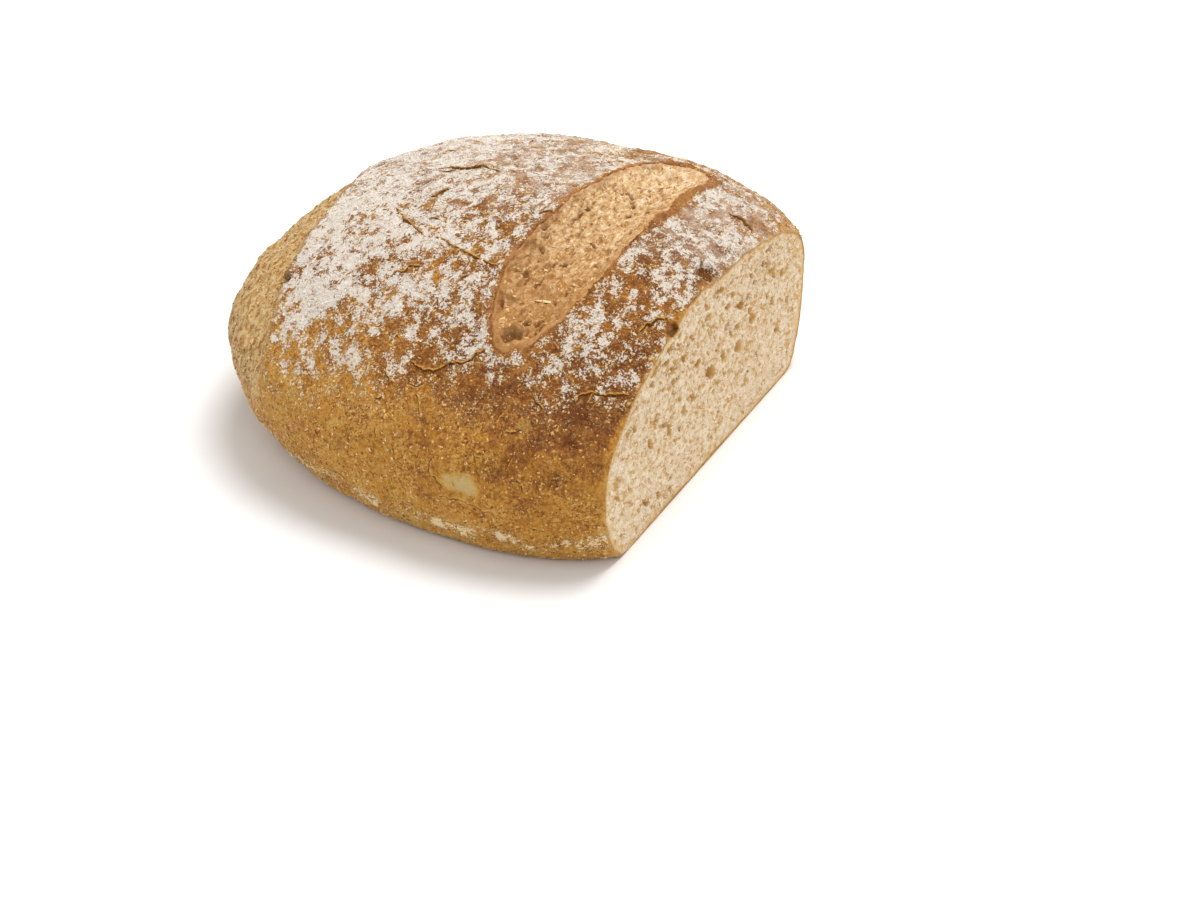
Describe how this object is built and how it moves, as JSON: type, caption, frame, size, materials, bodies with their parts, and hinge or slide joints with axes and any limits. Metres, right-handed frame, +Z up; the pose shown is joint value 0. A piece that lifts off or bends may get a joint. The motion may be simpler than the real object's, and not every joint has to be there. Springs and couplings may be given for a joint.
{
  "type": "country bread",
  "caption": "Round floured country loaf with a broad opened score on its crown and an end cut away by a knife, so that the porous crumb shows; it rests on its flat underside.",
  "frame": {"origin": "middle of the loaf's outline in plan, level with its flat underside", "axes": "+Z is up, +X points out of the knife cut, and the score on the crown runs along Y"},
  "size_m": [0.2094, 0.2442, 0.1005],
  "materials": {
    "crust": "baked golden-brown crust with bran specks, dusted with white flour in streaks and clumps",
    "crumb": "cream-beige porous crumb with bran specks, as the knife left it"
  },
  "bodies": {
    "root": {"loaf": "crust"}
  },
  "joints": []
}
